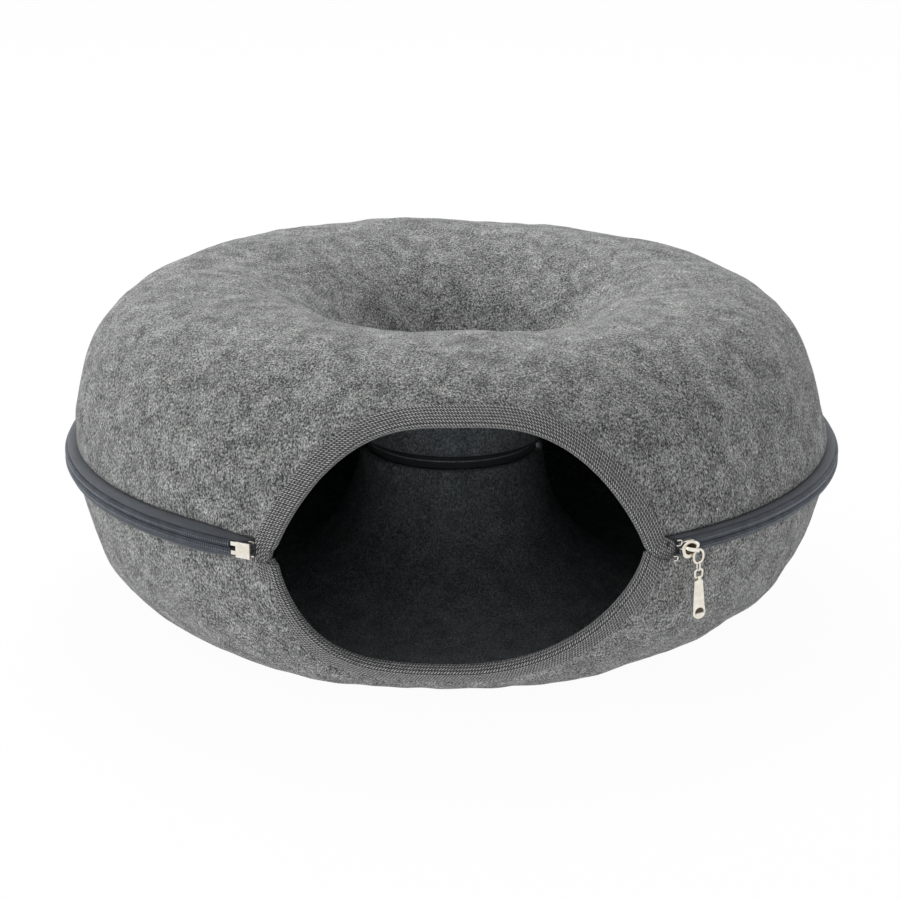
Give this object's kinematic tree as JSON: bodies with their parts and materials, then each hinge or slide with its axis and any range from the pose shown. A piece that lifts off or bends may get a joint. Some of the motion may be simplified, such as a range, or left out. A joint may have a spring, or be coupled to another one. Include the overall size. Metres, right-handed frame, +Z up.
{
  "type": "donut cat tunnel",
  "caption": "Ring-shaped felt tunnel for a cat, its upper and lower halves zipped together round the outside and round the hole, with an arched way in bound in webbing.",
  "frame": {"origin": "middle of the footprint, on the floor", "axes": "+Z up, -Y out of the way in, +X to the right of someone who faces the way in"},
  "size_m": [0.5, 0.4751, 0.2057],
  "materials": {
    "felt": "heathered grey felt",
    "webbing": "ribbed woven binding",
    "zip_tape": "woven slate blue tape",
    "zip_coil": "satin nylon",
    "nickel": "polished nickel plate"
  },
  "bodies": {
    "lower_half": {"lower_felt_shell": "felt", "lower_mouth_binding": "webbing", "outer_zip_lower_tape": "zip_tape", "outer_zip_lower_coil": "zip_coil", "outer_zip_retainer_box": "nickel", "outer_zip_lower_stop": "nickel", "hole_zip_lower_tape": "zip_tape", "hole_zip_lower_coil": "zip_coil", "hole_zip_retainer_box": "nickel", "hole_zip_lower_stop": "nickel"},
    "upper_half": {"upper_felt_shell": "felt", "upper_mouth_binding": "webbing", "outer_zip_upper_tape": "zip_tape", "outer_zip_upper_coil": "zip_coil", "outer_zip_insertion_pin": "nickel", "outer_zip_upper_stop": "nickel", "hole_zip_upper_tape": "zip_tape", "hole_zip_upper_coil": "zip_coil", "hole_zip_insertion_pin": "nickel", "hole_zip_upper_stop": "nickel"},
    "outer_slider": {"outer_slider_body": "nickel"},
    "pull_ring": {"outer_pull_ring": "nickel"},
    "pull_eye": {"outer_pull_eye": "nickel"},
    "pull_link": {"outer_pull_link": "nickel"},
    "pull_tab": {"outer_pull_tab": "nickel"},
    "hole_slider": {"hole_slider_body": "nickel"},
    "hole_strap": {"hole_pull_strap": "nickel"}
  },
  "joints": [
    {"name": "upper_half_lift", "type": "slide", "parent": "lower_half", "child": "upper_half", "axis": [0, 0, 1], "range_m": [0, 0.2]},
    {"name": "outer_slider_run", "type": "hinge", "parent": "lower_half", "child": "outer_slider", "pos_m": [0, -0.0127, 0.099], "axis": [0, 0, 1], "range_deg": [0, 294]},
    {"name": "pull_ring_swing", "type": "hinge", "parent": "outer_slider", "child": "pull_ring", "pos_m": [0.13609, -0.2256, 0.09772], "axis": [0.5253, -0.8509, 0], "range_deg": [-10, 70]},
    {"name": "pull_eye_swing", "type": "hinge", "parent": "pull_ring", "child": "pull_eye", "pos_m": [0.13609, -0.2256, 0.0914], "axis": [0.8509, 0.5253, 0], "range_deg": [-60, 4]},
    {"name": "pull_link_swing", "type": "hinge", "parent": "pull_eye", "child": "pull_link", "pos_m": [0.13609, -0.2256, 0.0886], "axis": [0.8509, 0.5253, 0], "range_deg": [-45, 6]},
    {"name": "pull_tab_swing", "type": "hinge", "parent": "pull_link", "child": "pull_tab", "pos_m": [0.13609, -0.2256, 0.0836], "axis": [0.8509, 0.5253, 0], "range_deg": [-60, 8]},
    {"name": "hole_slider_run", "type": "hinge", "parent": "lower_half", "child": "hole_slider", "pos_m": [0, -0.0127, 0.099], "axis": [0, 0, 1], "range_deg": [0, 328]},
    {"name": "hole_strap_swing", "type": "hinge", "parent": "hole_slider", "child": "hole_strap", "pos_m": [-0.00288, -0.01337, 0.09804], "axis": [0.2295, -0.9733, 0], "range_deg": [-45, 45]}
  ]
}
